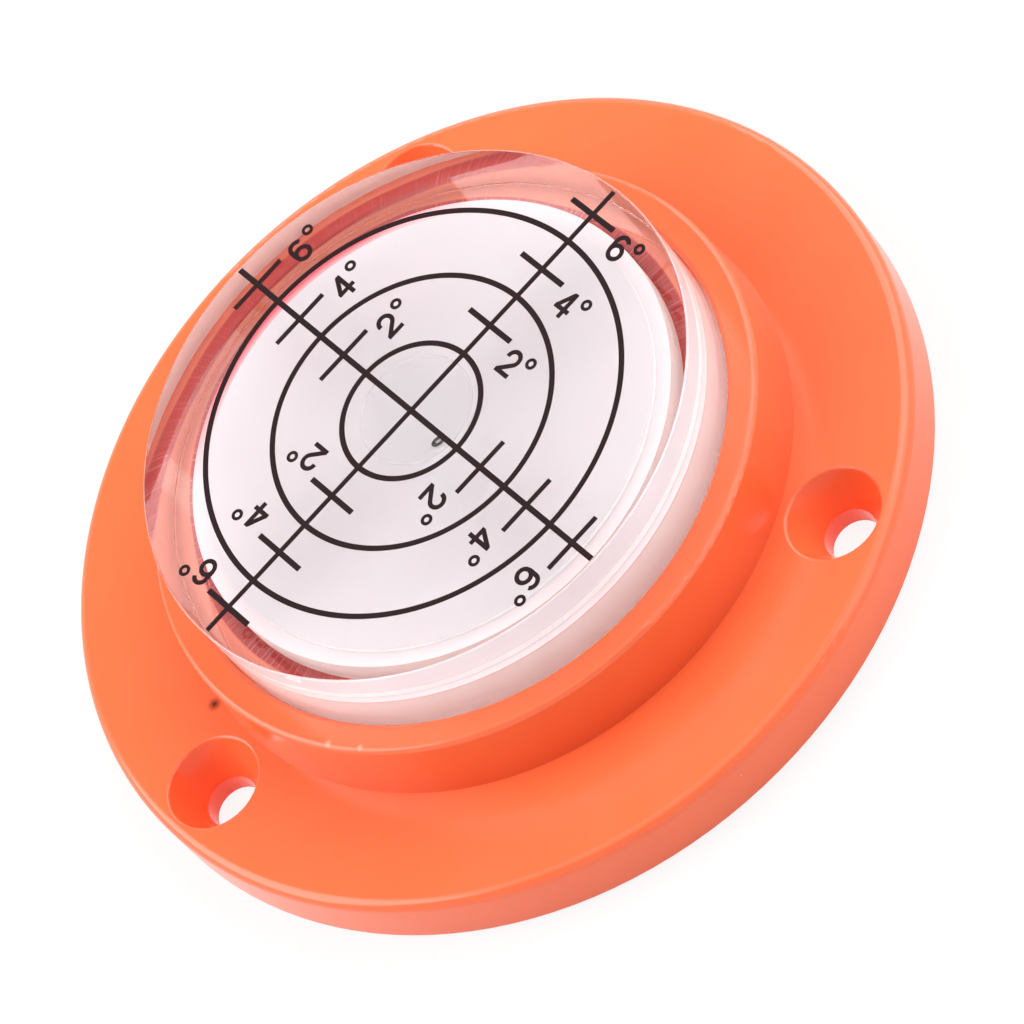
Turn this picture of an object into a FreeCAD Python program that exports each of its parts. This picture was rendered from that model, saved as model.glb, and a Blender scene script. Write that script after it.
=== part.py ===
"""Flanged circular angle level.

A moulded round base carries a clear vial in a raised collar and is held down by three screws.
The vial is a clear block whose chamber is closed from below by a stepped white cap and filled with liquid.
The chamber's roof is a shallow dome, and the bubble under it moves one ring for each two degrees of tilt.
Origin: centre of the base's underside. +Z is up, and the printed crosshair lies along X and Y.
All sizes are in millimetres and degrees.
"""

import FreeCAD, Part
import math
import os

V = FreeCAD.Vector

# Vial block
VIAL_DIA = 60.0
VIAL_HEIGHT = 12.0
VIAL_TOP_BEVEL = 0.3
VIAL_FOOT_BEVEL = 0.6
VIAL_WALL = 5.2
TOP_WALL = 2.0
CHAMBER_DEPTH = 6.0

# Stepped white cap that closes the chamber, and the plug in its filling hole
CAP_SHOULDER = 1.6
CAP_STEP = 0.9
CAP_PLATE_THICK = 2.0
CAP_SKIRT_WALL = 1.8
PLUG_DIA = 3.0
PLUG_HEAD_DIA = 5.0
PLUG_HEAD_THICK = 0.8
PLUG_TO_SKIRT = 2.0

# Bubble left in the liquid
BUBBLE_TO_RING = 1.65
BUBBLE_DEPTH = 2.4
BUBBLE_RIM_ROUND = 1.15

# Printed scale, its rings and ticks as shares of the vial's radius
RING_SHARES = (0.255, 0.5133, 0.7633)
TICK_SHARES = (0.3833, 0.6367, 0.8833)
DEGREES_PER_RING = 2.0
TICK_LENGTH = 6.8
LINE_WIDTH = 0.55
CROSS_EDGE_MARGIN = 0.4
INK_THICK = 0.05
ARM_COUNT = 4

# Collar with the vial's pocket
POCKET_GAP = 0.15
POCKET_DEPTH = 3.4
POCKET_MOUTH_BEVEL = 0.5
COLLAR_WALL = 3.25
COLLAR_FLARE = 0.55
COLLAR_HEIGHT = 7.9
COLLAR_TOP_ROUND = 0.6

# Flange
FLANGE_THICK = 6.5
FLANGE_TOP_ROUND = 1.1
FLANGE_FOOT_BEVEL = 0.4

# Screw recesses
SCREW_COUNT = 3
FIRST_SCREW_DEG = 60.0
SCREW_BORE_DIA = 5.5
SCREW_BORE_LENGTH = 2.3
RECESS_DIA = 10.2
RECESS_TO_COLLAR = 0.95
RECESS_TO_EDGE = 1.4
RECESS_RIM_ROUND = 0.4
RECESS_NECK_ROUND = 0.8

# Cored recess under the pocket
POCKET_FLOOR_THICK = 3.0
CORE_WALL = 3.0
CORE_DRAFT = 0.3

# Heights and radii that follow from the sizes above
CUT_OVERRUN = 1.0
BASE_TOP = FLANGE_THICK + COLLAR_HEIGHT
POCKET_FLOOR = BASE_TOP - POCKET_DEPTH
VIAL_RADIUS = VIAL_DIA / 2
VIAL_TOP = POCKET_FLOOR + VIAL_HEIGHT
CHAMBER_RADIUS = VIAL_RADIUS - VIAL_WALL
CHAMBER_FLOOR = VIAL_TOP - CHAMBER_DEPTH
RING_RADII = tuple(share * VIAL_RADIUS for share in RING_SHARES)
TICK_RADII = tuple(share * VIAL_RADIUS for share in TICK_SHARES)
DOME_CROWN = VIAL_TOP - TOP_WALL
DOME_RADIUS = (RING_RADII[-1] - RING_RADII[0]) / (len(RING_RADII) - 1) / math.radians(DEGREES_PER_RING)
BUBBLE_RADIUS = RING_RADII[0] - BUBBLE_TO_RING
CAP_RADIUS = CHAMBER_RADIUS + CAP_SHOULDER
CAP_SHOULDER_TOP = CHAMBER_FLOOR - CAP_STEP
CAP_UNDERSIDE = CHAMBER_FLOOR - CAP_PLATE_THICK
CAP_HOLLOW_RADIUS = CAP_RADIUS - CAP_SKIRT_WALL
PLUG_OFFSET = CAP_HOLLOW_RADIUS - PLUG_TO_SKIRT - PLUG_HEAD_DIA / 2
POCKET_RADIUS = VIAL_RADIUS + POCKET_GAP
COLLAR_TOP_RADIUS = POCKET_RADIUS + COLLAR_WALL
COLLAR_ROOT_RADIUS = COLLAR_TOP_RADIUS + COLLAR_FLARE
SCREW_CIRCLE_RADIUS = COLLAR_ROOT_RADIUS + RECESS_TO_COLLAR + RECESS_DIA / 2
FLANGE_RADIUS = SCREW_CIRCLE_RADIUS + RECESS_DIA / 2 + RECESS_TO_EDGE
CORE_RADIUS = POCKET_RADIUS - CORE_WALL
CORE_TOP = POCKET_FLOOR - POCKET_FLOOR_THICK


def rounded_outline(corners):
    """Closed face in the XZ plane from (radius, height, rounding) corners.

    A rounding above zero is an arc's radius. One below zero is a bevel, set back that far along both sides.
    """
    count = len(corners)
    points = [V(radius, 0, height) for radius, height, rounding in corners]
    edges = []
    starts = []
    ends = []
    for index, corner in enumerate(corners):
        here = points[index]
        back = (points[index - 1] - here).normalize()
        ahead = (points[(index + 1) % count] - here).normalize()
        rounding = corner[2]
        if rounding <= 0:
            starts.append(here - back * rounding)
            ends.append(here - ahead * rounding)
            if rounding < 0:
                edges.append(Part.LineSegment(starts[-1], ends[-1]).toShape())
            continue
        half_angle = back.getAngle(ahead) / 2
        reach = rounding / math.tan(half_angle)
        middle = (back + ahead).normalize() * (rounding / math.sin(half_angle) - rounding)
        starts.append(here + back * reach)
        ends.append(here + ahead * reach)
        edges.append(Part.Arc(starts[-1], here + middle, ends[-1]).toShape())
    for index in range(count):
        start = ends[index]
        end = starts[(index + 1) % count]
        if start.distanceToPoint(end) > 1e-6:
            edges.append(Part.LineSegment(start, end).toShape())
    return Part.Face(Part.Wire(Part.__sortEdges__(edges)))


def turned(corners):
    """Solid of revolution about Z of a rounded outline."""
    return rounded_outline(corners).revolve(V(0, 0, 0), V(0, 0, 1), 360)


def disc(radius, bottom, top, x=0.0):
    """Upright cylinder between two heights."""
    return Part.makeCylinder(radius, top - bottom, V(x, 0, bottom))


def turned_to(shape, degrees):
    """Copy of a shape turned about the part's axis."""
    copy = shape.copy()
    copy.rotate(V(0, 0, 0), V(0, 0, 1), degrees)
    return copy


def base_body():
    """Flange, flared collar with the vial's pocket, and the cored recess below it, as one turned shape."""
    return turned([
        (0, CORE_TOP, 0),
        (CORE_RADIUS - CORE_DRAFT, CORE_TOP, 0),
        (CORE_RADIUS, 0, 0),
        (FLANGE_RADIUS, 0, -FLANGE_FOOT_BEVEL),
        (FLANGE_RADIUS, FLANGE_THICK, FLANGE_TOP_ROUND),
        (COLLAR_ROOT_RADIUS, FLANGE_THICK, 0),
        (COLLAR_TOP_RADIUS, BASE_TOP, COLLAR_TOP_ROUND),
        (POCKET_RADIUS, BASE_TOP, -POCKET_MOUTH_BEVEL),
        (POCKET_RADIUS, POCKET_FLOOR, 0),
        (0, POCKET_FLOOR, 0),
    ])


def screw_hole():
    """Cutter for one screw: through bore, rounded neck, steep bowl and soft rim, at the first hole's radius."""
    slope = math.atan2(FLANGE_THICK - SCREW_BORE_LENGTH, (RECESS_DIA - SCREW_BORE_DIA) / 2)
    rim_reach = RECESS_RIM_ROUND * math.tan(slope / 2)
    mouth_radius = RECESS_DIA / 2 + rim_reach
    cutter = turned([
        (0, -CUT_OVERRUN, 0),
        (SCREW_BORE_DIA / 2, -CUT_OVERRUN, 0),
        (SCREW_BORE_DIA / 2, SCREW_BORE_LENGTH, RECESS_NECK_ROUND),
        (RECESS_DIA / 2, FLANGE_THICK, RECESS_RIM_ROUND),
        (mouth_radius, FLANGE_THICK, 0),
        (mouth_radius, FLANGE_THICK + CUT_OVERRUN, 0),
        (0, FLANGE_THICK + CUT_OVERRUN, 0),
    ])
    cutter.translate(V(SCREW_CIRCLE_RADIUS, 0, 0))
    return cutter


def flanged_base():
    """Moulded base: the turned body with its ring of screw holes."""
    base = base_body()
    for index in range(SCREW_COUNT):
        angle = FIRST_SCREW_DEG + index * 360 / SCREW_COUNT
        base = base.cut(turned_to(screw_hole(), angle))
    return base


def chamber(floor):
    """Round space inside the vial from a floor up to its shallow domed roof."""
    dome_ball = Part.makeSphere(DOME_RADIUS, V(0, 0, DOME_CROWN - DOME_RADIUS))
    return disc(CHAMBER_RADIUS, floor, VIAL_TOP).common(dome_ball)


def vial_body():
    """Clear block: bevelled edges, domed bore, and the wider seat below it for the white cap."""
    block = turned([
        (0, POCKET_FLOOR, 0),
        (VIAL_RADIUS, POCKET_FLOOR, -VIAL_FOOT_BEVEL),
        (VIAL_RADIUS, VIAL_TOP, -VIAL_TOP_BEVEL),
        (0, VIAL_TOP, 0),
    ])
    seat = disc(CAP_RADIUS, POCKET_FLOOR - CUT_OVERRUN, CAP_SHOULDER_TOP)
    return block.cut(seat).cut(chamber(CAP_SHOULDER_TOP))


def back_disc():
    """White cap: a plate that fills the bore, a shoulder against the vial's seat, and a skirt down to the floor."""
    cap = turned([
        (0, CAP_UNDERSIDE, 0),
        (CAP_HOLLOW_RADIUS, CAP_UNDERSIDE, 0),
        (CAP_HOLLOW_RADIUS, POCKET_FLOOR, 0),
        (CAP_RADIUS, POCKET_FLOOR, 0),
        (CAP_RADIUS, CAP_SHOULDER_TOP, 0),
        (CHAMBER_RADIUS, CAP_SHOULDER_TOP, 0),
        (CHAMBER_RADIUS, CHAMBER_FLOOR, 0),
        (0, CHAMBER_FLOOR, 0),
    ])
    hole = disc(PLUG_DIA / 2, CAP_UNDERSIDE - CUT_OVERRUN, CHAMBER_FLOOR + CUT_OVERRUN, PLUG_OFFSET)
    return cap.cut(hole)


def fill_plug():
    """Small headed plug pressed up into the white cap's filling hole."""
    shank = disc(PLUG_DIA / 2, CAP_UNDERSIDE, CHAMBER_FLOOR, PLUG_OFFSET)
    head = disc(PLUG_HEAD_DIA / 2, CAP_UNDERSIDE - PLUG_HEAD_THICK, CAP_UNDERSIDE, PLUG_OFFSET)
    return shank.fuse(head).removeSplitter()


def bubble():
    """Flat round bubble with a rounded lower rim, up against the dome."""
    bubble_floor = DOME_CROWN - BUBBLE_DEPTH
    return turned([
        (0, bubble_floor, 0),
        (BUBBLE_RADIUS, bubble_floor, BUBBLE_RIM_ROUND),
        (BUBBLE_RADIUS, DOME_CROWN, 0),
        (0, DOME_CROWN, 0),
    ])


def liquid_fill():
    """Liquid that fills the chamber around the bubble."""
    return chamber(CHAMBER_FLOOR).cut(bubble())


def printed_line(length, x_middle, across):
    """Straight printed line on the vial's top, along X or across it, centred at x_middle."""
    size_x = LINE_WIDTH if across else length
    size_y = length if across else LINE_WIDTH
    corner = V(x_middle - size_x / 2, -size_y / 2, VIAL_TOP)
    return Part.makeBox(size_x, size_y, INK_THICK, corner)


def printed_ring(radius):
    """Printed circle on the vial's top."""
    outer = disc(radius + LINE_WIDTH / 2, VIAL_TOP, VIAL_TOP + INK_THICK)
    inner = disc(radius - LINE_WIDTH / 2, VIAL_TOP, VIAL_TOP + INK_THICK)
    return outer.cut(inner)


def printed_scale():
    """Rings, crosshair and the ticks across each of its arms, as one layer of ink."""
    arm_length = VIAL_RADIUS - CROSS_EDGE_MARGIN
    arm = printed_line(arm_length, arm_length / 2, across=False)
    arm_marks = [arm] + [printed_line(TICK_LENGTH, radius, across=True) for radius in TICK_RADII]
    marks = [printed_ring(radius) for radius in RING_RADII]
    for index in range(ARM_COUNT):
        marks += [turned_to(mark, index * 360 / ARM_COUNT) for mark in arm_marks]
    hub = disc(LINE_WIDTH / 2, VIAL_TOP, VIAL_TOP + INK_THICK)
    return hub.fuse(marks).removeSplitter()


PIECES = {
    "flanged_base": flanged_base,
    "vial_body": vial_body,
    "back_disc": back_disc,
    "fill_plug": fill_plug,
    "liquid_fill": liquid_fill,
    "printed_scale": printed_scale,
}


def main():
    """Builds every piece and writes each to its own file."""
    os.makedirs("parts", exist_ok=True)
    for name, build in PIECES.items():
        shape = build()
        if len(shape.Solids) == 1:
            shape = shape.Solids[0]
        shape.exportStep(f"parts/{name}.step")
        print(f"{name}: {len(shape.Solids)} solid, {shape.Volume / 1000:.3f} cm3, valid {shape.isValid()}")


if __name__ == "__main__":
    main()
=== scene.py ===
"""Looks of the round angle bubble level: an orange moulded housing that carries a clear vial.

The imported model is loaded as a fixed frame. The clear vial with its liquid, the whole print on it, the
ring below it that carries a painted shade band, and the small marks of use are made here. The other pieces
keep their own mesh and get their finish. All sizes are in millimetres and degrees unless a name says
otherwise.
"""

import logging
import math
from dataclasses import dataclass, field
from enum import Enum

import bmesh
import bpy
from mathutils import Matrix, Vector

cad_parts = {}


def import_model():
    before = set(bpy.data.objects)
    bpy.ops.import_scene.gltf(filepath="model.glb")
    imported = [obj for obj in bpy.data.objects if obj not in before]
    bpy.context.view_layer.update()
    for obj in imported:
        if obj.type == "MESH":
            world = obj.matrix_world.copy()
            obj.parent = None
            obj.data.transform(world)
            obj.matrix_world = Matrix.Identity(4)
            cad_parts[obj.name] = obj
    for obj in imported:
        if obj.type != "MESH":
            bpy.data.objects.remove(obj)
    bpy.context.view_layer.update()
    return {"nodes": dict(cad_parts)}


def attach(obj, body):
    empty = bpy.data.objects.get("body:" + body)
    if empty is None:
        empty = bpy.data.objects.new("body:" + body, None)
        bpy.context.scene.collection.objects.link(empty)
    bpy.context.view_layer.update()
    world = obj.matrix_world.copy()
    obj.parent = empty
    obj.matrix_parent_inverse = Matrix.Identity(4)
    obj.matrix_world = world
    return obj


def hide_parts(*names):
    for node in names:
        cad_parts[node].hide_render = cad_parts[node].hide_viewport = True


log = logging.getLogger("level")
MM = 0.001
# Radius of the small ring on which a lathed piece closes at its axis
POLE_RADIUS = 0.3
# Points nearer to each other than this are made one
MERGE_DISTANCE = 0.0001


class RecordSlot(Enum):
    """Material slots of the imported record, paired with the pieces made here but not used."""

    ACRYLIC = "clear_acrylic"
    LIQUID = "vial_liquid"
    INK = "black_ink"


def linear(hex_colour: str) -> tuple[float, float, float, float]:
    """Turns an sRGB hex colour into linear RGBA.

    Args:
        hex_colour: Colour such as "#ff6a2b".

    Returns:
        Linear red, green and blue with an alpha of 1.
    """
    parts = [int(hex_colour[start:start + 2], 16) / 255 for start in (1, 3, 5)]
    curve = [part / 12.92 if part <= 0.04045 else ((part + 0.055) / 1.055) ** 2.4 for part in parts]
    return (curve[0], curve[1], curve[2], 1.0)


def add_node(tree: bpy.types.NodeTree, kind: str, settings: dict | None = None,
             **links: bpy.types.NodeSocket) -> bpy.types.Node:
    """Adds one node with its settings and the links into it.

    Args:
        tree: Node tree that gets the node.
        kind: Node type, such as "ShaderNodeTexNoise".
        settings: Attribute names, or socket names, with their values.
        links: Socket name with spaces as underscores, and the output socket that feeds it.

    Returns:
        The new node.
    """
    node = tree.nodes.new(kind)
    for name, value in (settings or {}).items():
        if isinstance(name, int) or name in node.inputs:
            node.inputs[name].default_value = value
        else:
            setattr(node, name, value)
    for name, source in links.items():
        socket = node.inputs[int(name[1:])] if name[0] == "_" else node.inputs[name.replace("_", " ")]
        tree.links.new(source, socket)
    return node


def new_material(name: str) -> tuple[bpy.types.Material, bpy.types.NodeTree]:
    """Makes an empty node material.

    Args:
        name: The real material's name.

    Returns:
        The material and its node tree.
    """
    material = bpy.data.materials.new(name)
    material.use_nodes = True
    material.node_tree.nodes.clear()
    return material, material.node_tree


def angle_from(tree: bpy.types.NodeTree, place: bpy.types.NodeSocket,
               degrees: float) -> bpy.types.NodeSocket:
    """Measures each point's angle about Z from one side of the piece.

    Args:
        tree: Node tree to work in.
        place: Object coordinates.
        degrees: Direction of that side.

    Returns:
        Angle in radians, above zero to the left.
    """
    turn = add_node(tree, "ShaderNodeMapping", {
        "vector_type": "POINT", "Rotation": (0, 0, math.radians(-degrees))}, Vector=place)
    axis = add_node(tree, "ShaderNodeSeparateXYZ", Vector=turn.outputs["Vector"])
    angle = add_node(tree, "ShaderNodeMath", {"operation": "ARCTAN2"}, _0=axis.outputs["Y"],
                     _1=axis.outputs["X"])
    return angle.outputs[0]


def away_from_axis(tree: bpy.types.NodeTree, place: bpy.types.NodeSocket) -> bpy.types.NodeSocket:
    """Measures each point's distance from the Z axis.

    Args:
        tree: Node tree to work in.
        place: Object coordinates.

    Returns:
        The distance in metres.
    """
    flat = add_node(tree, "ShaderNodeVectorMath", {"operation": "MULTIPLY", 1: (1, 1, 0)}, _0=place)
    away = add_node(tree, "ShaderNodeVectorMath", {"operation": "LENGTH"}, _0=flat.outputs["Vector"])
    return away.outputs["Value"]


def towards(azimuth: float, elevation: float) -> Vector:
    """Unit vector that points in a direction.

    Args:
        azimuth: Degrees about +Z from +X.
        elevation: Degrees above the floor.

    Returns:
        The vector.
    """
    turn, rise = math.radians(azimuth), math.radians(elevation)
    return Vector((math.cos(turn) * math.cos(rise), math.sin(turn) * math.cos(rise), math.sin(rise)))


def deselect_all() -> None:
    """Leaves object mode with nothing selected."""
    if bpy.context.object and bpy.context.object.mode != "OBJECT":
        bpy.ops.object.mode_set(mode="OBJECT")
    bpy.ops.object.select_all(action="DESELECT")


def dress(piece: bpy.types.Object, *materials: bpy.types.Material) -> None:
    """Gives a piece its materials, the first on all its faces.

    Args:
        piece: Piece to dress.
        materials: Its materials, in the order of their slots.
    """
    piece.data.materials.clear()
    for material in materials:
        piece.data.materials.append(material)


@dataclass(frozen=True)
class SurfaceMark:
    """A small round fleck in or on the moulding."""

    place: tuple[float, float, float]
    radius: float
    soft: float
    colour: str


@dataclass(frozen=True)
class MouldedOrangePlastic:
    """Injection-moulded ABS, dyed through: an even orange under a clear gloss with a faint orange peel."""

    colour: str = "#ff7244"
    deep_colour: str = "#fd6c3d"
    roughness: float = 0.2
    roughness_swing: float = 0.03
    ior: float = 1.53
    mottle_mm: float = 9.0
    peel_mm: float = 0.9
    peel_height_mm: float = 0.0008
    peel_strength: float = 0.35
    dust_mm: float = 7.0
    dust_radius_mm: float = 0.11
    dust_core: float = 0.5
    dust_colour: str = "#ffb08a"
    marks: tuple[SurfaceMark, ...] = (
        SurfaceMark((-34.05, 6.87, 6.5), 0.5, 0.45, "#4a1208"),
        SurfaceMark((-29.69, -14.0, 14.2), 0.22, 0.25, "#ffc8a8"),
        SurfaceMark((-27.91, -17.32, 14.2), 0.18, 0.25, "#ffc8a8"))

    def marked(self, tree: bpy.types.NodeTree, place: bpy.types.NodeSocket,
               colour: bpy.types.NodeSocket) -> bpy.types.NodeSocket:
        """Lays the flecks over a colour.

        Args:
            tree: Node tree of the material.
            place: Object coordinates.
            colour: Colour under the flecks.

        Returns:
            Colour with the flecks.
        """
        for mark in self.marks:
            away = add_node(tree, "ShaderNodeVectorMath", {
                "operation": "DISTANCE", 1: Vector(mark.place) * MM}, _0=place)
            share = add_node(tree, "ShaderNodeMapRange", {
                "From Min": (mark.radius + mark.soft) * MM, "From Max": (mark.radius - mark.soft) * MM},
                Value=away.outputs["Value"])
            mix = add_node(tree, "ShaderNodeMix", {"data_type": "RGBA", 7: linear(mark.colour)},
                           _0=share.outputs["Result"], _6=colour)
            colour = mix.outputs[2]
        return colour

    def build(self) -> bpy.types.Material:
        """Makes the material."""
        material, tree = new_material("moulded ABS, orange")
        place = add_node(tree, "ShaderNodeTexCoord").outputs["Object"]
        mottle = add_node(tree, "ShaderNodeTexNoise", {
            "Scale": 1 / (self.mottle_mm * MM), "Detail": 2.0}, Vector=place)
        colour = add_node(tree, "ShaderNodeMix", {"data_type": "RGBA", 6: linear(self.deep_colour),
                                                  7: linear(self.colour)}, _0=mottle.outputs["Fac"])
        dust = add_node(tree, "ShaderNodeTexVoronoi", {"Scale": 1 / (self.dust_mm * MM)}, Vector=place)
        fleck_size = self.dust_radius_mm / self.dust_mm
        fleck = add_node(tree, "ShaderNodeMapRange", {
            "From Min": fleck_size, "From Max": self.dust_core * fleck_size},
            Value=dust.outputs["Distance"])
        dusty = add_node(tree, "ShaderNodeMix", {"data_type": "RGBA", 7: linear(self.dust_colour)},
                         _0=fleck.outputs["Result"], _6=colour.outputs[2])
        peel = add_node(tree, "ShaderNodeTexNoise", {
            "Scale": 1 / (self.peel_mm * MM), "Detail": 1.0}, Vector=place)
        bump = add_node(tree, "ShaderNodeBump", {
            "Strength": self.peel_strength, "Distance": self.peel_height_mm * MM},
            Height=peel.outputs["Fac"])
        rough = add_node(tree, "ShaderNodeMapRange", {
            "To Min": self.roughness - self.roughness_swing,
            "To Max": self.roughness + self.roughness_swing},
            Value=mottle.outputs["Fac"])
        shader = add_node(tree, "ShaderNodeBsdfPrincipled", {"IOR": self.ior},
                          Base_Color=self.marked(tree, place, dusty.outputs[2]),
                          Roughness=rough.outputs["Result"], Normal=bump.outputs["Normal"])
        add_node(tree, "ShaderNodeOutputMaterial", Surface=shader.outputs["BSDF"])
        return material


@dataclass(frozen=True)
class ClearAcrylic:
    """Cast acrylic, polished: clear all through with a sharp gloss, and hardly any where liquid wets it."""

    colour: str = "#ffffff"
    ior: float = 1.49
    liquid_ior: float = 1.44

    def against(self, name: str, ior: float) -> bpy.types.Material:
        """Makes the clear finish of one kind of surface.

        Args:
            name: Name of the finish.
            ior: Refraction against what lies outside the surface.

        Returns:
            The material.
        """
        material, tree = new_material(name)
        shader = add_node(tree, "ShaderNodeBsdfPrincipled", {
            "Base Color": linear(self.colour), "IOR": ior, "Roughness": 0.0, "Transmission Weight": 1.0})
        add_node(tree, "ShaderNodeOutputMaterial", Surface=shader.outputs["BSDF"])
        return material

    def build(self) -> tuple[bpy.types.Material, bpy.types.Material]:
        """Makes the finish of the dry faces and that of the faces that the liquid wets."""
        return (self.against("cast acrylic, polished", self.ior),
                self.against("cast acrylic, wetted", self.ior / self.liquid_ior))


@dataclass(frozen=True)
class LevelSpirit:
    """Colourless spirit: it shows only where it meets the bubble, as a wetted wall shows no surface."""

    sheen: str = "#ffffff"
    sheen_start: float = 0.35
    sheen_share: float = 0.25
    sheen_roughness: float = 0.3
    dark_eye: str = "#4a403e"

    def build(self) -> tuple[bpy.types.Material, ...]:
        """Makes the finish of the wetting faces, of the bubble's skin and of the dark eye-shaped mark on
        the plate.

        The skin is clear where it is looked at squarely, with a faint pale sheen towards its outline.
        """
        wetting, tree = new_material("level spirit, on a wall")
        clear = add_node(tree, "ShaderNodeBsdfTransparent")
        add_node(tree, "ShaderNodeOutputMaterial", Surface=clear.outputs[0])
        skin, tree = new_material("level spirit, bubble skin")
        slant = add_node(tree, "ShaderNodeLayerWeight")
        share = add_node(tree, "ShaderNodeMapRange", {
            "From Min": self.sheen_start, "To Max": self.sheen_share}, Value=slant.outputs["Facing"])
        clear = add_node(tree, "ShaderNodeBsdfTransparent")
        sheen = add_node(tree, "ShaderNodeBsdfGlossy", {
            "Color": linear(self.sheen), "Roughness": self.sheen_roughness})
        mixed = add_node(tree, "ShaderNodeMixShader", _0=share.outputs["Result"], _1=clear.outputs[0],
                         _2=sheen.outputs[0])
        add_node(tree, "ShaderNodeOutputMaterial", Surface=mixed.outputs[0])
        dark_eye, tree = new_material("dark eye mark, grey")
        shader = add_node(tree, "ShaderNodeBsdfPrincipled", {"Base Color": linear(self.dark_eye)})
        add_node(tree, "ShaderNodeOutputMaterial", Surface=shader.outputs["BSDF"])
        return wetting, skin, dark_eye


@dataclass(frozen=True)
class WhitePlastic:
    """Moulded white polystyrene: a matt plate with faint clouds, and painted orange light on its lower wall
    and shoulder.

    The levels are the heights at which the lower wall gives way to the shoulder, the plate's side and the
    plate. The shoulder's painted orange light deepens to a painted red reflection of the housing on the far
    side, and the lower wall's painted orange light is deepest there too. The plate's side is written
    lighter, painted light where it stands in shade. The plate is written a tone deeper than it looks, since
    the sky counts a little more through the acrylic.
    """

    plate: str = "#dbd6d9"
    cloud: str = "#e0d2d7"
    cloud_mm: float = 12.0
    # painted orange light: pink on the cap's lower wall, deeper on the far side
    skirt_orange_light: str = "#fff2f0"
    skirt_deep_orange_light: str = "#ffdad3"
    # painted light: the plate's side is lighter than the plate where it stands in shade
    edge: str = "#fafafa"
    # painted orange light on the shoulder's rim, turning to a painted red reflection of the housing on the
    # far side
    shoulder_orange_light: str = "#fbdcde"
    shoulder_red_reflection: str = "#f35662"
    shoulder_light_start: float = 24.7
    shoulder_light_end: float = 26.0
    deep_side_degrees: float = 87.0
    shoulder_light_degrees: tuple[float, float] = (22.0, 50.0)
    skirt_light_degrees: tuple[float, float] = (60.0, 95.0)
    levels: tuple[float, float, float] = (15.9, 16.15, 16.97)
    roughness: float = 0.45

    def sided(self, tree: bpy.types.NodeTree, place: bpy.types.NodeSocket, deep: str, pale: str,
              degrees: tuple[float, float]) -> bpy.types.NodeSocket:
        """Mixes a colour of painted light that is deepest towards the far side, at deep_side_degrees.

        Args:
            tree: Node tree to work in.
            place: Object coordinates.
            deep: Colour on that side.
            pale: Colour on the other side.
            degrees: Where the change starts and ends, away from the middle of the deep side.

        Returns:
            Socket of the mixed colour.
        """
        side = add_node(tree, "ShaderNodeMath", {"operation": "ABSOLUTE"},
                        _0=angle_from(tree, place, self.deep_side_degrees))
        share = add_node(tree, "ShaderNodeMapRange", {
            "From Min": math.radians(degrees[0]), "From Max": math.radians(degrees[1])},
            Value=side.outputs[0])
        mix = add_node(tree, "ShaderNodeMix", {"data_type": "RGBA", 6: linear(deep), 7: linear(pale)},
                       _0=share.outputs["Result"])
        return mix.outputs[2]

    def build(self) -> bpy.types.Material:
        """Makes the material."""
        material, tree = new_material("moulded polystyrene, white")
        place = add_node(tree, "ShaderNodeTexCoord").outputs["Object"]
        cloud = add_node(tree, "ShaderNodeTexNoise", {
            "Scale": 1 / (self.cloud_mm * MM), "Detail": 3.0}, Vector=place)
        plate = add_node(tree, "ShaderNodeMix", {"data_type": "RGBA", 6: linear(self.plate),
                                                 7: linear(self.cloud)}, _0=cloud.outputs["Fac"])
        # painted orange light and painted red reflection on the shoulder's rim
        rim = add_node(tree, "ShaderNodeMapRange", {
            "From Min": self.shoulder_light_start * MM, "From Max": self.shoulder_light_end * MM},
            Value=away_from_axis(tree, place))
        top = add_node(tree, "ShaderNodeMix", {"data_type": "RGBA"}, _0=rim.outputs["Result"],
                       _6=plate.outputs[2],
                       _7=self.sided(tree, place, self.shoulder_red_reflection, self.shoulder_orange_light, self.shoulder_light_degrees))
        # painted light on the plate's side
        edge = add_node(tree, "ShaderNodeRGB")
        edge.outputs[0].default_value = linear(self.edge)
        height = add_node(tree, "ShaderNodeSeparateXYZ", Vector=place).outputs["Z"]
        # painted orange light on the lower wall, deepest on the far side
        colour = self.sided(tree, place, self.skirt_deep_orange_light, self.skirt_orange_light, self.skirt_light_degrees)
        for level, tone in zip(self.levels, (top.outputs[2], edge.outputs[0], plate.outputs[2])):
            above = add_node(tree, "ShaderNodeMath", {
                "operation": "GREATER_THAN", 1: level * MM}, _0=height)
            colour = add_node(tree, "ShaderNodeMix", {"data_type": "RGBA"}, _0=above.outputs[0],
                              _6=colour, _7=tone).outputs[2]
        shader = add_node(tree, "ShaderNodeBsdfPrincipled", {
            "Roughness": self.roughness}, Base_Color=colour)
        add_node(tree, "ShaderNodeOutputMaterial", Surface=shader.outputs["BSDF"])
        return material


@dataclass(frozen=True)
class PrintedInk:
    """Pad-printed black ink: a warm near-black film with a dull gloss."""

    colour: str = "#281a1c"
    gloss: float = 0.08
    roughness: float = 0.5
    roughness_swing: float = 0.1
    grain_mm: float = 0.4

    def build(self) -> bpy.types.Material:
        """Makes the material."""
        material, tree = new_material("pad-printed ink, black")
        place = add_node(tree, "ShaderNodeTexCoord").outputs["Object"]
        grain = add_node(tree, "ShaderNodeTexNoise", {"Scale": 1 / (self.grain_mm * MM)}, Vector=place)
        rough = add_node(tree, "ShaderNodeMapRange", {
            "To Min": self.roughness - self.roughness_swing,
            "To Max": self.roughness + self.roughness_swing},
            Value=grain.outputs["Fac"])
        shader = add_node(tree, "ShaderNodeBsdfPrincipled", {
            "Base Color": linear(self.colour), "Specular IOR Level": self.gloss},
            Roughness=rough.outputs["Result"])
        add_node(tree, "ShaderNodeOutputMaterial", Surface=shader.outputs["BSDF"])
        return material


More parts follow.
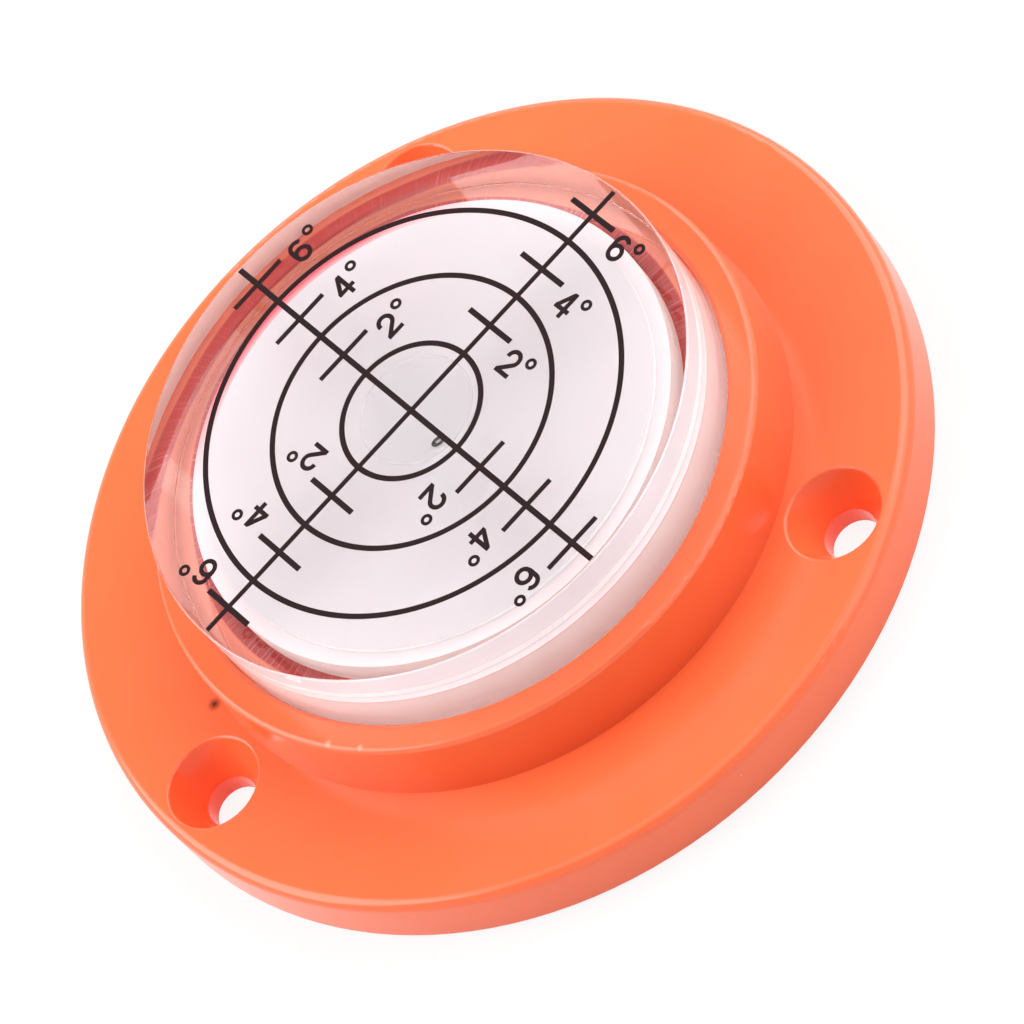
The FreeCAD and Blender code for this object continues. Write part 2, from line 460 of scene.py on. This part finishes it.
@dataclass(frozen=True)
class PocketShadeBand:
    """Painted shade: a dark red band on the pocket floor, in the groove between the cap and the pocket
    wall, with pale streaks; around the band the ring is a lighter salmon.

    The streaks run along the radius and are faintest at the middle of the band's deep side. Away from there
    the band is shifted inwards, and it ends before the opposite side.
    """

    # painted shade: the dark red of the band
    colour: str = "#c83a36"
    streak: str = "#f2a09c"
    band_surround: str = "#ff8c70"
    band: tuple[float, float] = (27.35, 29.2)
    shift: float = 1.2
    deep_shade_degrees: float = 84.0
    shift_degrees: tuple[float, float] = (28.0, 62.0)
    end_degrees: tuple[float, float] = (125.0, 140.0)
    streak_fade_degrees: tuple[float, float] = (12.0, 42.0)
    streak_fade_shares: tuple[float, float] = (0.25, 1.1)
    edge: float = 0.12
    streak_mm: float = 0.3
    streak_levels: tuple[float, float] = (0.5, 0.95)
    streak_share: float = 0.6
    radius_mm: float = 28.7
    roughness: float = 0.4
    gloss: float = 0.25

    def streaked(self, tree: bpy.types.NodeTree, angle: bpy.types.NodeSocket,
                 side: bpy.types.NodeSocket) -> bpy.types.NodeSocket:
        """Mixes the painted shade band's colour with its pale streaks.

        Args:
            tree: Node tree to work in.
            angle: Angle from the middle of the band's deep side.
            side: The same angle without its sign.

        Returns:
            Socket of the film's colour.
        """
        along = add_node(tree, "ShaderNodeMath", {
            "operation": "MULTIPLY", 1: self.radius_mm / self.streak_mm}, _0=angle)
        streak_noise = add_node(tree, "ShaderNodeTexNoise", {
            "noise_dimensions": "1D", "Scale": 1.0, "Detail": 1.0}, W=along.outputs[0])
        light = add_node(tree, "ShaderNodeMapRange", {
            "From Min": self.streak_levels[0], "From Max": self.streak_levels[1],
            "To Max": self.streak_share}, Value=streak_noise.outputs["Fac"])
        streak_fade = add_node(tree, "ShaderNodeMapRange", {
            "From Min": math.radians(self.streak_fade_degrees[0]), "From Max": math.radians(self.streak_fade_degrees[1]),
            "To Min": self.streak_fade_shares[0], "To Max": self.streak_fade_shares[1]}, Value=side)
        streak_mix = add_node(tree, "ShaderNodeMath", {"operation": "MULTIPLY"}, _0=light.outputs["Result"],
                           _1=streak_fade.outputs["Result"])
        film = add_node(tree, "ShaderNodeMix", {
            "data_type": "RGBA", 6: linear(self.colour), 7: linear(self.streak)}, _0=streak_mix.outputs[0])
        return film.outputs[2]

    def thickness(self, tree: bpy.types.NodeTree, away: bpy.types.NodeSocket,
                  side: bpy.types.NodeSocket) -> bpy.types.NodeSocket:
        """Marks the painted shade band: 1 inside it and 0 outside.

        Args:
            tree: Node tree to work in.
            away: Distance from the axis.
            side: Angle from the middle of the band's deep side, without its sign.

        Returns:
            Socket of the share.
        """
        shift = add_node(tree, "ShaderNodeMapRange", {
            "From Min": math.radians(self.shift_degrees[0]),
            "From Max": math.radians(self.shift_degrees[1]), "To Max": self.shift * MM}, Value=side)
        shifted = add_node(tree, "ShaderNodeMath", {"operation": "ADD"}, _0=away,
                           _1=shift.outputs["Result"])
        rise, fall = (add_node(tree, "ShaderNodeMapRange", {
            "From Min": (radius - way * self.edge) * MM, "From Max": (radius + way * self.edge) * MM},
            Value=shifted.outputs[0]) for radius, way in zip(self.band, (1, -1)))
        band = add_node(tree, "ShaderNodeMath", {"operation": "MULTIPLY"}, _0=rise.outputs["Result"],
                        _1=fall.outputs["Result"])
        end = add_node(tree, "ShaderNodeMapRange", {
            "From Min": math.radians(self.end_degrees[1]), "From Max": math.radians(self.end_degrees[0])},
            Value=side)
        shaded = add_node(tree, "ShaderNodeMath", {"operation": "MULTIPLY"}, _0=band.outputs[0],
                         _1=end.outputs["Result"])
        return shaded.outputs[0]

    def build(self) -> bpy.types.Material:
        """Makes the material."""
        material, tree = new_material("painted shade band, pocket floor")
        place = add_node(tree, "ShaderNodeTexCoord").outputs["Object"]
        angle = angle_from(tree, place, self.deep_shade_degrees)
        side = add_node(tree, "ShaderNodeMath", {"operation": "ABSOLUTE"}, _0=angle).outputs[0]
        # painted shade band over the lighter salmon
        colour = add_node(tree, "ShaderNodeMix", {"data_type": "RGBA", 6: linear(self.band_surround)},
                          _0=self.thickness(tree, away_from_axis(tree, place), side),
                          _7=self.streaked(tree, angle, side))
        shader = add_node(tree, "ShaderNodeBsdfPrincipled", {"Roughness": self.roughness,
                                                             "Specular IOR Level": self.gloss},
                          Base_Color=colour.outputs[2])
        add_node(tree, "ShaderNodeOutputMaterial", Surface=shader.outputs["BSDF"])
        return material


def close_up() -> None:
    """Merges the doubles of the mesh in edit mode, makes its faces point outwards and leaves edit mode."""
    bpy.ops.mesh.select_all(action="SELECT")
    bpy.ops.mesh.remove_doubles(threshold=MERGE_DISTANCE * MM)
    bpy.ops.mesh.normals_make_consistent(inside=False)
    bpy.ops.object.mode_set(mode="OBJECT")


@dataclass
class Turner:
    """Raises a round piece ring by ring with the extrude, scale and move operators."""

    segments: int = 256
    radius: float = 0.0
    height: float = 0.0

    def start(self, name: str, radius: float, height: float) -> None:
        """Lays the first ring.

        Args:
            name: Name of the new piece.
            radius: Radius of the ring.
            height: Height of the ring.
        """
        deselect_all()
        bpy.ops.mesh.primitive_circle_add(vertices=self.segments, radius=radius * MM, fill_type="NGON")
        bpy.context.object.name = name
        bpy.ops.object.mode_set(mode="EDIT")
        bpy.ops.mesh.select_mode(type="EDGE")
        bpy.ops.mesh.select_all(action="SELECT")
        bpy.ops.transform.translate(value=(0, 0, height * MM))
        self.radius, self.height = radius, height

    def ring(self, radius: float, height: float) -> None:
        """Extrudes the last ring to a new one.

        Args:
            radius: Radius of the new ring.
            height: Height of the new ring.
        """
        bpy.ops.mesh.extrude_region_move()
        share = radius / self.radius
        bpy.ops.transform.resize(value=(share, share, 1), center_override=(0, 0, self.height * MM))
        bpy.ops.transform.translate(value=(0, 0, (height - self.height) * MM))
        self.radius, self.height = radius, height

    def rings(self, outline: list[tuple[float, float]]) -> None:
        """Extrudes through every radius and height of an outline."""
        for radius, height in outline:
            self.ring(radius, height)

    def finish(self) -> bpy.types.Object:
        """Makes the faces point outwards and shades them smooth.

        Returns:
            The finished piece.
        """
        close_up()
        bpy.ops.object.shade_smooth()
        return bpy.context.object


def eased(corners: list[tuple[float, float, float]], steps: int = 5,
          hold: float = 0.02) -> list[tuple[float, float]]:
    """Works out an outline through corners with their roundings.

    Args:
        corners: Radius, height and rounding of each corner.
        steps: Parts of each rounding.
        hold: Distance from a corner of the two rings that keep it crisp.

    Returns:
        Radius and height of every ring.
    """
    outline = []
    points = [Vector((radius, height)) for radius, height, _ in corners]
    for index, (here, corner) in enumerate(zip(points, corners)):
        if index == 0 or index == len(points) - 1:
            outline.append(tuple(here))
            continue
        back = (points[index - 1] - here).normalized()
        ahead = (points[index + 1] - here).normalized()
        half = back.angle(ahead) / 2
        reach = corner[2] / math.tan(half)
        if reach == 0:
            outline += [tuple(here + back * hold), tuple(here), tuple(here + ahead * hold)]
            continue
        centre = here + (back + ahead).normalized() * (corner[2] / math.sin(half))
        start = here + back * reach - centre
        turn = start.angle_signed(here + ahead * reach - centre)
        outline.append(tuple(here + back * (reach + hold)))
        for step in range(steps + 1):
            spoke = start.copy()
            spoke.rotate(Matrix.Rotation(-turn * step / steps, 2))
            outline.append(tuple(centre + spoke))
        outline.append(tuple(here + ahead * (reach + hold)))
    return outline


@dataclass
class Pen:
    """Draws printed strokes as flat strips, each from an oblong on, by extruding its front edge.

    Each stroke can rise a hair over the last, so that crossing strokes don't share a plane.
    """

    width: float
    lift: float = 0.0
    rise: float = 0.0
    step_degrees: float = 15.0
    tip: Vector = field(default_factory=lambda: Vector((0.0, 0.0)))
    heading: float = 0.0

    def ahead(self) -> Vector:
        """Direction that the pen moves in."""
        return Vector((math.cos(self.heading), math.sin(self.heading)))

    def down(self, place: tuple[float, float], heading_degrees: float, length: float = 0.04) -> None:
        """Starts a stroke with an oblong.

        Args:
            place: Middle of the stroke's blunt end.
            heading_degrees: Direction of the stroke.
            length: Length of the oblong.
        """
        self.heading = math.radians(heading_degrees)
        self.lift += self.rise
        middle = Vector(place) + self.ahead() * self.width / 2
        bpy.ops.mesh.primitive_plane_add(size=self.width * MM, location=(*(middle * MM), self.lift * MM),
                                         rotation=(0, 0, self.heading))
        if bpy.context.object.mode != "EDIT":
            bpy.ops.object.transform_apply(location=True, rotation=True)
            bpy.ops.object.mode_set(mode="EDIT")
        shell = bmesh.from_edit_mesh(bpy.context.object.data)
        for corner in shell.verts:
            side = (corner.co.xy / MM - middle) @ self.ahead()
            corner.select_set(corner.select and side > 0)
        shell.select_flush(False)
        shell.select_flush(True)
        bmesh.update_edit_mesh(bpy.context.object.data)
        back = self.ahead() * (length - self.width)
        bpy.ops.transform.translate(value=(*(back * MM), 0))
        self.tip = Vector(place) + self.ahead() * length

    def straight(self, length: float) -> None:
        """Draws straight on.

        Args:
            length: Length of the stretch.
        """
        move = self.ahead() * length
        bpy.ops.mesh.extrude_region_move(TRANSFORM_OT_translate={"value": (*(move * MM), 0)})
        self.tip += move

    def bend(self, radius: float, degrees: float) -> None:
        """Draws an arc.

        Args:
            radius: Radius of the stroke's middle line.
            degrees: Angle of the arc, to the left if above zero.
        """
        side = 1 if degrees > 0 else -1
        centre = self.tip + side * radius * Vector((-math.sin(self.heading), math.cos(self.heading)))
        steps = max(1, round(abs(degrees) / self.step_degrees))
        angle = math.radians(degrees / steps)
        for _ in range(steps):
            bpy.ops.mesh.extrude_region_move()
            bpy.ops.transform.rotate(value=-angle, orient_axis="Z", center_override=(*(centre * MM), 0))
            spoke = self.tip - centre
            spoke.rotate(Matrix.Rotation(angle, 2))
            self.tip = centre + spoke
            self.heading += angle


@dataclass
class ClearVial:
    """The vial's clear block and the liquid with its bubble, as fine lathed pieces for clean refraction."""

    radius: float = 30.0
    floor: float = 11.02
    top: float = 22.995
    edge: float = 0.2
    foot: float = 0.08
    seat_radius: float = 26.3
    seat_top: float = 16.03
    chamber_radius: float = 24.7
    chamber_floor: float = 17.0
    crown: float = 21.0
    dome_radius: float = 218.44
    dome_rings: int = 24
    bubble_radius: float = 6.2
    bubble_depth: float = 2.4
    bubble_rim: float = 1.15
    bubble_place: tuple[float, float] = (0.57, 1.2)
    eye_radius: float = 0.45
    eye_thickness: float = 0.19
    eye_stretch: tuple[float, float, float] = (1.25, 0.8, 0.8)
    eye_steps: tuple[int, int] = (24, 10)
    eye_turn: float = -13.0
    eye_place: tuple[float, float, float] = (-0.29, -2.34, 17.15)
    wetting: float = 0.03
    roof_easing: float = 0.1
    bubble_gap: float = 0.02
    block_steps: int = 3
    bubble_steps: int = 14
    touch: float = 0.001
    seat_gap: float = 0.05
    roof_slope: float = 0.9
    skin_slope: float = 0.999
    turner: Turner = field(default_factory=Turner)

    def dome_height(self, radius: float, lift: float = 0.0) -> float:
        """Height of the chamber's domed roof at a radius, lifted by a gap."""
        ball = self.dome_radius + lift
        return self.crown - self.dome_radius + math.sqrt(ball ** 2 - radius ** 2)

    def dome(self, rim: float, lift: float = 0.0) -> list[tuple[float, float]]:
        """Outline of the domed roof from its rim to near its crown."""
        radii = [rim * (1 - step / self.dome_rings) for step in range(1, self.dome_rings)] + [POLE_RADIUS]
        return [(radius, self.dome_height(radius, lift)) for radius in radii]

    def block(self) -> bpy.types.Object:
        """Turns the clear block: outer wall, top, and the chamber with the cap's two seats below.

        Returns:
            The block.
        """
        dome = self.dome(self.chamber_radius)
        outline = eased([
            (POLE_RADIUS, self.top, 0), (self.radius, self.top, self.edge),
            (self.radius, self.floor, self.foot), (self.seat_radius, self.floor, 0),
            (self.seat_radius, self.seat_top, 0), (self.chamber_radius, self.seat_top, 0),
            (self.chamber_radius, self.dome_height(self.chamber_radius), self.roof_easing),
            dome[0] + (0,)], steps=self.block_steps)
        self.turner.start("vial_clear_block", *outline[0])
        self.turner.rings(outline[1:] + dome[1:])
        bpy.ops.mesh.edge_face_add()
        return self.turner.finish()

    def liquid(self) -> bpy.types.Object:
        """Turns the liquid, a hair larger than the chamber, so that no air is left against the acrylic.

        Returns:
            The liquid.
        """
        rim = self.chamber_radius + self.wetting
        below = self.chamber_floor - self.wetting
        dome = self.dome(rim, self.wetting)
        outline = eased([(POLE_RADIUS, below, 0), (rim, below, 0),
                         (rim, self.dome_height(rim, self.wetting), self.roof_easing), dome[0] + (0,)])
        self.turner.start("vial_liquid", *outline[0])
        self.turner.rings(outline[1:] + dome[1:])
        bpy.ops.mesh.edge_face_add()
        return self.turner.finish()

    def bubble(self) -> bpy.types.Object:
        """Turns the air bubble's skin, the liquid's inner surface, a little off the middle under the dome.

        Returns:
            The skin.
        """
        place = Vector((*self.bubble_place, 0))
        roof = self.dome_height(place.length) - self.bubble_gap
        low = roof - self.bubble_depth
        outline = eased([(POLE_RADIUS, low, 0), (self.bubble_radius, low, self.bubble_rim),
                         (self.bubble_radius, roof, self.bubble_rim), (POLE_RADIUS, roof, 0)],
                        steps=self.bubble_steps)
        self.turner.start("bubble_skin", *outline[0])
        self.turner.rings(outline[1:])
        bpy.ops.mesh.edge_face_add()
        bpy.ops.mesh.select_all(action="SELECT")
        bpy.ops.transform.translate(value=place * MM)
        return self.turner.finish()

    def dark_eye(self) -> bpy.types.Object:
        """Shapes the dark mark that lies on the plate near the bubble, a small ring drawn out to an eye.

        Returns:
            The mark.
        """
        deselect_all()
        around, across = self.eye_steps
        bpy.ops.mesh.primitive_torus_add(
            major_segments=around, minor_segments=across, major_radius=self.eye_radius * MM,
            minor_radius=self.eye_thickness * MM)
        bpy.ops.object.mode_set(mode="EDIT")
        bpy.ops.mesh.select_all(action="SELECT")
        bpy.ops.transform.resize(value=self.eye_stretch)
        bpy.ops.transform.rotate(value=-math.radians(self.eye_turn), orient_axis="Z",
                                 center_override=(0, 0, 0))
        bpy.ops.transform.translate(value=Vector(self.eye_place) * MM)
        return self.turner.finish()

    def wet_faces(self, block: bpy.types.Object) -> None:
        """Gives the chamber's roof the second finish of the block and the chamber's wall the third.

        Args:
            block: The clear block.
        """
        for face in block.data.polygons:
            middle = face.center / MM
            inside = math.hypot(middle.x, middle.y) < self.chamber_radius + self.touch
            if inside and self.seat_top + self.seat_gap < middle.z < self.crown + self.touch:
                face.material_index = 1 if abs(face.normal.z) > self.roof_slope else 2

    def build(self, acrylic: ClearAcrylic, spirit: LevelSpirit) -> list[bpy.types.Object]:
        """Makes the clear pieces and their finish.

        Args:
            acrylic: Finish of the block.
            spirit: Finish of the liquid.

        Returns:
            The clear block and the liquid.
        """
        block = self.block()
        wetting, skin, dark = spirit.build()
        dress(block, *acrylic.build(), wetting)
        self.wet_faces(block)
        bubble = self.bubble()
        dress(bubble, skin, wetting)
        for face in bubble.data.polygons:
            face.material_index = int(abs(face.normal.z) > self.skin_slope)
        bpy.ops.object.mode_set(mode="EDIT")
        bpy.ops.mesh.select_all(action="SELECT")
        bpy.ops.mesh.flip_normals()
        bpy.ops.object.mode_set(mode="OBJECT")
        dark_eye = self.dark_eye()
        dress(dark_eye, dark)
        liquid = self.liquid()
        dress(liquid, wetting)
        for piece in (bubble, dark_eye):
            piece.select_set(True)
        bpy.ops.object.join()
        for piece, node, slot in ((block, "vial_body", RecordSlot.ACRYLIC),
                                  (liquid, "liquid_fill", RecordSlot.LIQUID)):
            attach(piece, "root")
            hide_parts(node)
        return [block, liquid]


@dataclass
class PocketShadeSheet:
    """A flat ring on the pocket's floor, between cap and wall, that carries the painted shade band."""

    inner: float = 26.45
    outer: float = 29.9
    floor: float = 10.99
    top: float = 11.012
    turner: Turner = field(default_factory=Turner)

    def build(self, shade_finish: bpy.types.Material) -> bpy.types.Object:
        """Makes the film.

        Args:
            shade_finish: Finish of the ring, with its painted shade band.

        Returns:
            The film.
        """
        self.turner.start("pocket_shade_sheet", self.inner, self.floor)
        bpy.ops.mesh.select_mode(type="FACE")
        bpy.ops.mesh.select_all(action="SELECT")
        bpy.ops.mesh.delete(type="ONLY_FACE")
        bpy.ops.mesh.select_mode(type="EDGE")
        bpy.ops.mesh.select_all(action="SELECT")
        self.turner.rings([(self.outer, self.floor), (self.outer, self.top), (self.inner, self.top),
                           (self.inner, self.floor)])
        film = self.turner.finish()
        dress(film, shade_finish)
        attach(film, "root")
        return film


@dataclass
class VialPrint:
    """Ink on the vial's top: rings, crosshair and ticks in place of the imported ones, and the numerals.

    Values named for a numeral shape it, with its hooks and bowl in degrees. The four's stem and bar stand
    at shares of its width and height.
    """

    ring_radii: tuple[float, ...] = (7.65, 15.4, 22.9)
    tick_radii: tuple[float, ...] = (11.5, 19.1, 26.5)
    tick_length: float = 6.8
    reach: float = 29.6
    ring_width: float = 0.6
    ring_steps: int = 192
    line_width: float = 0.56
    bold_width: float = 0.62
    arms: int = 4
    rows: tuple[tuple[str, float, float], ...] = (("2", 5.2, 9.85), ("4", 5.3, 17.8), ("6", 5.4, 25.4))
    height: float = 3.08
    width: float = 2.04
    stroke: float = 0.5
    two_drop: float = 0.12
    two_lead: float = 0.08
    two_hook: float = 228.0
    two_slope: float = 1.72
    four_stem: float = 0.68
    four_bar: float = 0.31
    four_past: float = 0.06
    four_top: tuple[float, float] = (0.1, 0.2)
    four_foot: tuple[float, float] = (0.22, 0.02)
    six_bowl: float = 357.0
    six_hook: float = 150.0
    sign_place: tuple[float, float] = (2.1, 1.2)
    sign_outer: float = 0.64
    sign_inner: float = 0.28
    base: float = 23.0
    film: float = 0.035
    rise: float = 0.003

    def thicken(self, shift: tuple[float, float] = (0.0, 0.0)) -> bpy.types.Object:
        """Moves the flat strokes sideways and gives them the ink's thickness.

        Args:
            shift: Move along X and Y.

        Returns:
            Their piece.
        """
        bpy.ops.mesh.select_all(action="SELECT")
        bpy.ops.transform.translate(value=(shift[0] * MM, shift[1] * MM, 0))
        bpy.ops.mesh.extrude_region_move(TRANSFORM_OT_translate={"value": (0, 0, self.film * MM)})
        bpy.ops.object.mode_set(mode="OBJECT")
        return bpy.context.object

    def ring(self, outer: float, inner: float, place: tuple[float, float] = (0.0, 0.0)) -> bpy.types.Object:
        """Prints a ring.

        Args:
            outer: Outer radius.
            inner: Inner radius.
            place: Middle of the ring.

        Returns:
            The ring.
        """
        deselect_all()
        bpy.ops.mesh.primitive_circle_add(vertices=self.ring_steps, radius=outer * MM, fill_type="NGON")
        bpy.ops.object.mode_set(mode="EDIT")
        bpy.ops.mesh.inset(thickness=(outer - inner) * MM)
        bpy.ops.mesh.delete(type="FACE")
        return self.thicken(place)

    def lines(self) -> bpy.types.Object:
        """Prints the crosshair and the ticks, with the lines along Y bolder than those along X.

        Returns:
            All the lines as one piece.
        """
        deselect_all()
        widths = {0.0: self.line_width, 90.0: self.bold_width}
        for level, (degrees, width) in enumerate(widths.items(), start=1):
            pen = Pen(width, lift=level * self.rise)
            ahead = towards(degrees, 0.0).xy
            side = Vector((-ahead.y, ahead.x))
            pen.down(-ahead * self.reach, degrees, 2 * self.reach)
            for radius in (*self.tick_radii, *(-radius for radius in self.tick_radii)):
                pen.down(side * radius - ahead * self.tick_length / 2, degrees, self.tick_length)
        return self.thicken()

    def two(self, pen: Pen) -> None:
        """Draws a 2: hook, slope and foot.

        Args:
            pen: Pen of the numeral.
        """
        reach = (self.width - self.stroke) / 2
        pen.down((self.stroke / 2, self.height - self.stroke / 2 - reach - self.two_drop), 90)
        pen.straight(self.two_lead)
        pen.bend(reach, -self.two_hook)
        pen.straight(self.two_slope)
        pen.down((0, self.stroke / 2), 0, self.width)

    def four(self, pen: Pen) -> None:
        """Draws a 4: stem, bar and slope.

        Args:
            pen: Pen of the numeral.
        """
        stem, bar = self.four_stem * self.width, self.four_bar * self.height
        pen.down((stem, 0), 90, self.height)
        pen.down((0, bar), 0, self.width + self.four_past)
        top = Vector((stem - self.four_top[0], self.height - self.four_top[1]))
        foot = Vector((self.four_foot[0], bar + self.four_foot[1]))
        slope = top - foot
        pen.down(foot, math.degrees(math.atan2(slope.y, slope.x)), slope.length)

    def six(self, pen: Pen) -> None:
        """Draws a 6: round bowl, then the back with its hook.

        Args:
            pen: Pen of the numeral.
        """
        reach = (self.width - self.stroke) / 2
        bowl = self.stroke / 2 + reach
        pen.down((bowl, self.stroke / 2), 0)
        pen.bend(reach, self.six_bowl)
        pen.down((self.stroke / 2, bowl), 90, self.height - 2 * bowl)
        pen.bend(reach, -self.six_hook)

    def digit(self, text: str) -> bpy.types.Object:
        """Prints one numeral, centred on the origin.

        Args:
            text: The numeral.

        Returns:
            Its piece.
        """
        deselect_all()
        strokes = {"2": self.two, "4": self.four, "6": self.six}
        strokes[text](Pen(self.stroke, rise=self.rise))
        return self.thicken((-self.width / 2, -self.height / 2))

    def build(self, ink: bpy.types.Material) -> bpy.types.Object:
        """Makes the whole print.

        Args:
            ink: Finish of the print.

        Returns:
            The print as one piece.
        """
        half = self.ring_width / 2
        marks = [self.ring(radius + half, radius - half) for radius in self.ring_radii] + [self.lines()]
        for mark in marks:
            mark.data.transform(Matrix.Translation((0, 0, self.base * MM)))
        for text, aside, out in self.rows:
            digit = self.digit(text)
            sign = self.ring(self.sign_outer, self.sign_inner, self.sign_place)
            deselect_all()
            digit.select_set(True)
            sign.select_set(True)
            bpy.context.view_layer.objects.active = digit
            bpy.ops.object.join()
            place = Matrix.Translation(Vector((aside, out, self.base)) * MM)
            for arm in range(self.arms):
                mark = digit if arm == self.arms - 1 else digit.copy()
                if mark is not digit:
                    mark.data = digit.data.copy()
                    bpy.context.collection.objects.link(mark)
                mark.data.transform(Matrix.Rotation(arm * math.tau / self.arms, 4, "Z") @ place)
                marks.append(mark)
        deselect_all()
        for mark in marks:
            mark.select_set(True)
        bpy.context.view_layer.objects.active = marks[0]
        bpy.ops.object.join()
        piece = bpy.context.object
        piece.name = "vial_print"
        bpy.ops.object.mode_set(mode="EDIT")
        close_up()
        dress(piece, ink)
        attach(piece, "root")
        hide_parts("printed_scale")
        return piece


@dataclass
class Studio:
    """White floor and plain soft light.

    No lamp reaches what lies behind a refracting face, so the sky counts a little more through one.
    """

    floor_size: float = 6000.0
    floor_gap: float = 0.05
    paper: str = "#f4f4f4"
    glow_share: float = 0.85
    sky: float = 0.25
    room: float = 0.35
    through: float = 1.35
    sweep_top: float = 20.0
    room_start: float = 40.0
    lamp_distance: float = 900.0
    lamp_size: float = 800.0
    lamps: tuple[tuple[str, float, float, float], ...] = (
        ("left_box", 150.0, 40.0, 7.9), ("right_box", 30.0, 40.0, 5.6),
        ("near_right_box", -30.0, 40.0, 3.8), ("top_box", 0.0, 89.0, 1.8))

    def floor(self) -> None:
        """White floor that shows white to the eye and to gloss, and keeps the shadow."""
        deselect_all()
        bpy.ops.mesh.primitive_plane_add(size=self.floor_size * MM, location=(0, 0, -self.floor_gap * MM))
        bpy.ops.object.transform_apply(location=True)
        floor = bpy.context.object
        floor.name = "studio_floor"
        material, tree = new_material("white paper floor")
        path = add_node(tree, "ShaderNodeLightPath")
        seen = path.outputs["Is Camera Ray"]
        for ray in ("Is Glossy Ray", "Is Transmission Ray"):
            seen = add_node(tree, "ShaderNodeMath", {"operation": "ADD", "use_clamp": True},
                            _0=seen, _1=path.outputs[ray]).outputs[0]
        paper = add_node(tree, "ShaderNodeBsdfDiffuse", {"Color": linear(self.paper)})
        glow = add_node(tree, "ShaderNodeEmission", {"Color": (1, 1, 1, 1), "Strength": 1.0})
        share = add_node(tree, "ShaderNodeMath", {"operation": "MULTIPLY", 1: self.glow_share}, _0=seen)
        mix = add_node(tree, "ShaderNodeMixShader", _0=share.outputs[0], _1=paper.outputs[0],
                       _2=glow.outputs[0])
        add_node(tree, "ShaderNodeOutputMaterial", Surface=mix.outputs[0])
        dress(floor, material)

    def sky_light(self) -> None:
        """White surround for the eye and through the acrylic, and for gloss with a dimmer room above it."""
        world = bpy.data.worlds.new("studio sky")
        bpy.context.scene.world = world
        world.use_nodes = True
        tree = world.node_tree
        tree.nodes.clear()
        path = add_node(tree, "ShaderNodeLightPath")
        through = add_node(tree, "ShaderNodeMath", {"operation": "MULTIPLY", 1: self.through},
                           _0=path.outputs["Is Transmission Ray"])
        clear = add_node(tree, "ShaderNodeMath", {"operation": "MAXIMUM"}, _0=path.outputs["Is Camera Ray"],
                         _1=through.outputs[0])
        heading = add_node(tree, "ShaderNodeTexCoord")
        up = add_node(tree, "ShaderNodeSeparateXYZ", Vector=heading.outputs["Generated"])
        room = add_node(tree, "ShaderNodeMapRange", {
            "From Min": math.sin(math.radians(self.sweep_top)),
            "From Max": math.sin(math.radians(self.room_start)),
            "To Min": 1.0, "To Max": self.room}, Value=up.outputs["Z"])
        shown = add_node(tree, "ShaderNodeMix", {"data_type": "FLOAT", 2: self.sky},
                         _0=path.outputs["Is Glossy Ray"], _3=room.outputs["Result"])
        strength = add_node(tree, "ShaderNodeMath", {"operation": "MAXIMUM"}, _0=shown.outputs[0],
                            _1=clear.outputs[0])
        sky = add_node(tree, "ShaderNodeBackground", {"Color": (1, 1, 1, 1)}, Strength=strength.outputs[0])
        add_node(tree, "ShaderNodeOutputWorld", Surface=sky.outputs[0])

    def lamp(self, name: str, azimuth: float, elevation: float, power: float) -> None:
        """Places a square soft box that faces the object.

        Args:
            name: Name of the lamp.
            azimuth: Direction of the lamp about +Z.
            elevation: Direction of the lamp above the floor.
            power: Power in watts.
        """
        deselect_all()
        bpy.ops.object.light_add(type="AREA")
        lamp = bpy.context.object
        lamp.name = name
        lamp.data.shape = "SQUARE"
        lamp.data.size = self.lamp_size * MM
        lamp.data.energy = power
        away = towards(azimuth, elevation)
        lamp.location = away * self.lamp_distance * MM
        lamp.rotation_euler = (-away).to_track_quat("-Z", "Y").to_euler()

    def build(self) -> None:
        """Makes the floor, the sky and the soft boxes."""
        self.floor()
        self.sky_light()
        for lamp in self.lamps:
            self.lamp(*lamp)


@dataclass
class PhotoCamera:
    """Camera at the photograph's viewing angle."""

    azimuth: float = -96.196
    elevation: float = 50.148
    roll: float = 42.446
    aim: tuple[float, float, float] = (-0.218, -7.543, 10.0)
    distance: float = 695.64
    lens: float = 245.944
    sensor: float = 36.0
    clip_start: float = 10.0

    def build(self) -> None:
        """Makes the camera and turns it about its own axis to the photograph's slant."""
        away = towards(self.azimuth, self.elevation)
        forward = -away
        level_right = forward.cross(Vector((0, 0, 1))).normalized()
        level_up = level_right.cross(forward)
        roll = math.radians(self.roll)
        up = math.cos(roll) * level_up + math.sin(roll) * level_right
        right = forward.cross(up)
        data = bpy.data.cameras.new("photo_camera")
        data.lens = self.lens
        data.sensor_width = self.sensor
        data.clip_start = self.clip_start * MM
        camera = bpy.data.objects.new("photo_camera", data)
        bpy.context.collection.objects.link(camera)
        turn = Matrix((right, up, -forward)).transposed().to_4x4()
        camera.matrix_world = Matrix.Translation((Vector(self.aim) + away * self.distance) * MM) @ turn
        bpy.context.scene.camera = camera


def main() -> None:
    """Loads the frame, dresses its nodes, adds the new pieces, and sets light and camera."""
    logging.basicConfig(level=logging.INFO, format="%(message)s")
    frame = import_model()
    nodes = frame["nodes"]
    bpy.context.scene.view_settings.view_transform = "Standard"
    base, disc, plug = nodes["flanged_base"], nodes["back_disc"], nodes["fill_plug"]
    dress(base, MouldedOrangePlastic().build())
    white = WhitePlastic().build()
    dress(disc, white)
    dress(plug, white)
    clear = ClearVial().build(ClearAcrylic(), LevelSpirit())
    # the ring under the vial, with its painted shade band
    film = PocketShadeSheet().build(PocketShadeBand().build())
    vial_print = VialPrint().build(PrintedInk().build())
    for piece in (base, disc, plug, *clear, film, vial_print):
        log.info("%s: %d faces", piece.name, len(piece.data.polygons))
    Studio().build()
    PhotoCamera().build()


if __name__ == "__main__":
    main()
